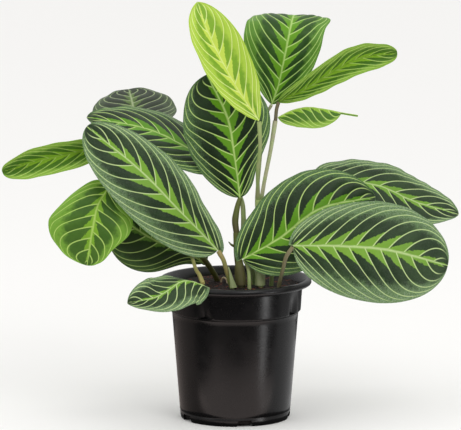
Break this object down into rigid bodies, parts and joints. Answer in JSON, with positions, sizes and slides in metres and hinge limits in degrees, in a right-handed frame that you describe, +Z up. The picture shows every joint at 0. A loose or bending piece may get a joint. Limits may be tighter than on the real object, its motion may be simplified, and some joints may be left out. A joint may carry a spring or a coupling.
{
  "type": "potted prayer plant",
  "caption": "Prayer plant (maranta) with broad patterned leaves on slender stalks, growing from soil in a round black nursery pot.",
  "frame": {"origin": "middle of the pot's flat underside", "axes": "+Z up along the pot's axis, -Y towards the plant's front, +X towards its right"},
  "size_m": [0.3884, 0.2305, 0.3564],
  "materials": {
    "pot_plastic": "black moulded polypropylene, satin",
    "potting_soil": "moist peat and bark crumbs",
    "root": "pale dry root",
    "cane": "brown-olive stem skin",
    "stalk": "green stalk skin with a mauve tinge",
    "sheath": "thin pale-green leaf sheath",
    "leaf_lime": "young lime-green leaf",
    "leaf_green": "satin green leaf with pale veins and dark patches",
    "leaf_grey": "older leaf with a grey velvety sheen, pale veins and dark patches"
  },
  "bodies": {
    "root": {"pot": "pot_plastic", "soil": "potting_soil", "root_loop": "root", "cane_main": "cane", "cane_left": "cane", "cane_right": "stalk", "shoot_right": "stalk", "bud_spur": "cane", "sheath_main": "cane", "sheath_front_left": "sheath", "sheath_right": "sheath", "stalk_centre": "stalk", "stalk_mid_left": "stalk", "stalk_back_left": "stalk", "stalk_front_left": "stalk", "stalk_over_rim": "stalk", "stalk_left_hanging": "stalk", "stalk_far_left": "stalk", "stalk_low_left": "stalk", "stalk_top_young": "stalk", "stalk_top_right": "stalk", "stalk_top_centre": "stalk", "stalk_right_middle": "stalk", "stalk_right_back": "stalk", "stalk_front_right": "stalk", "leaf_top_young": "leaf_lime", "leaf_top_centre": "leaf_green", "leaf_top_right": "leaf_green", "leaf_small_folded": "leaf_green", "leaf_centre": "leaf_green", "leaf_front_left": "leaf_grey", "leaf_mid_left": "leaf_green", "leaf_back_left": "leaf_grey", "leaf_far_left": "leaf_green", "leaf_left_hanging": "leaf_green", "leaf_low_left": "leaf_green", "leaf_over_rim": "leaf_grey", "leaf_right_middle": "leaf_green", "leaf_right_back": "leaf_grey", "leaf_front_right": "leaf_grey"}
  },
  "joints": []
}
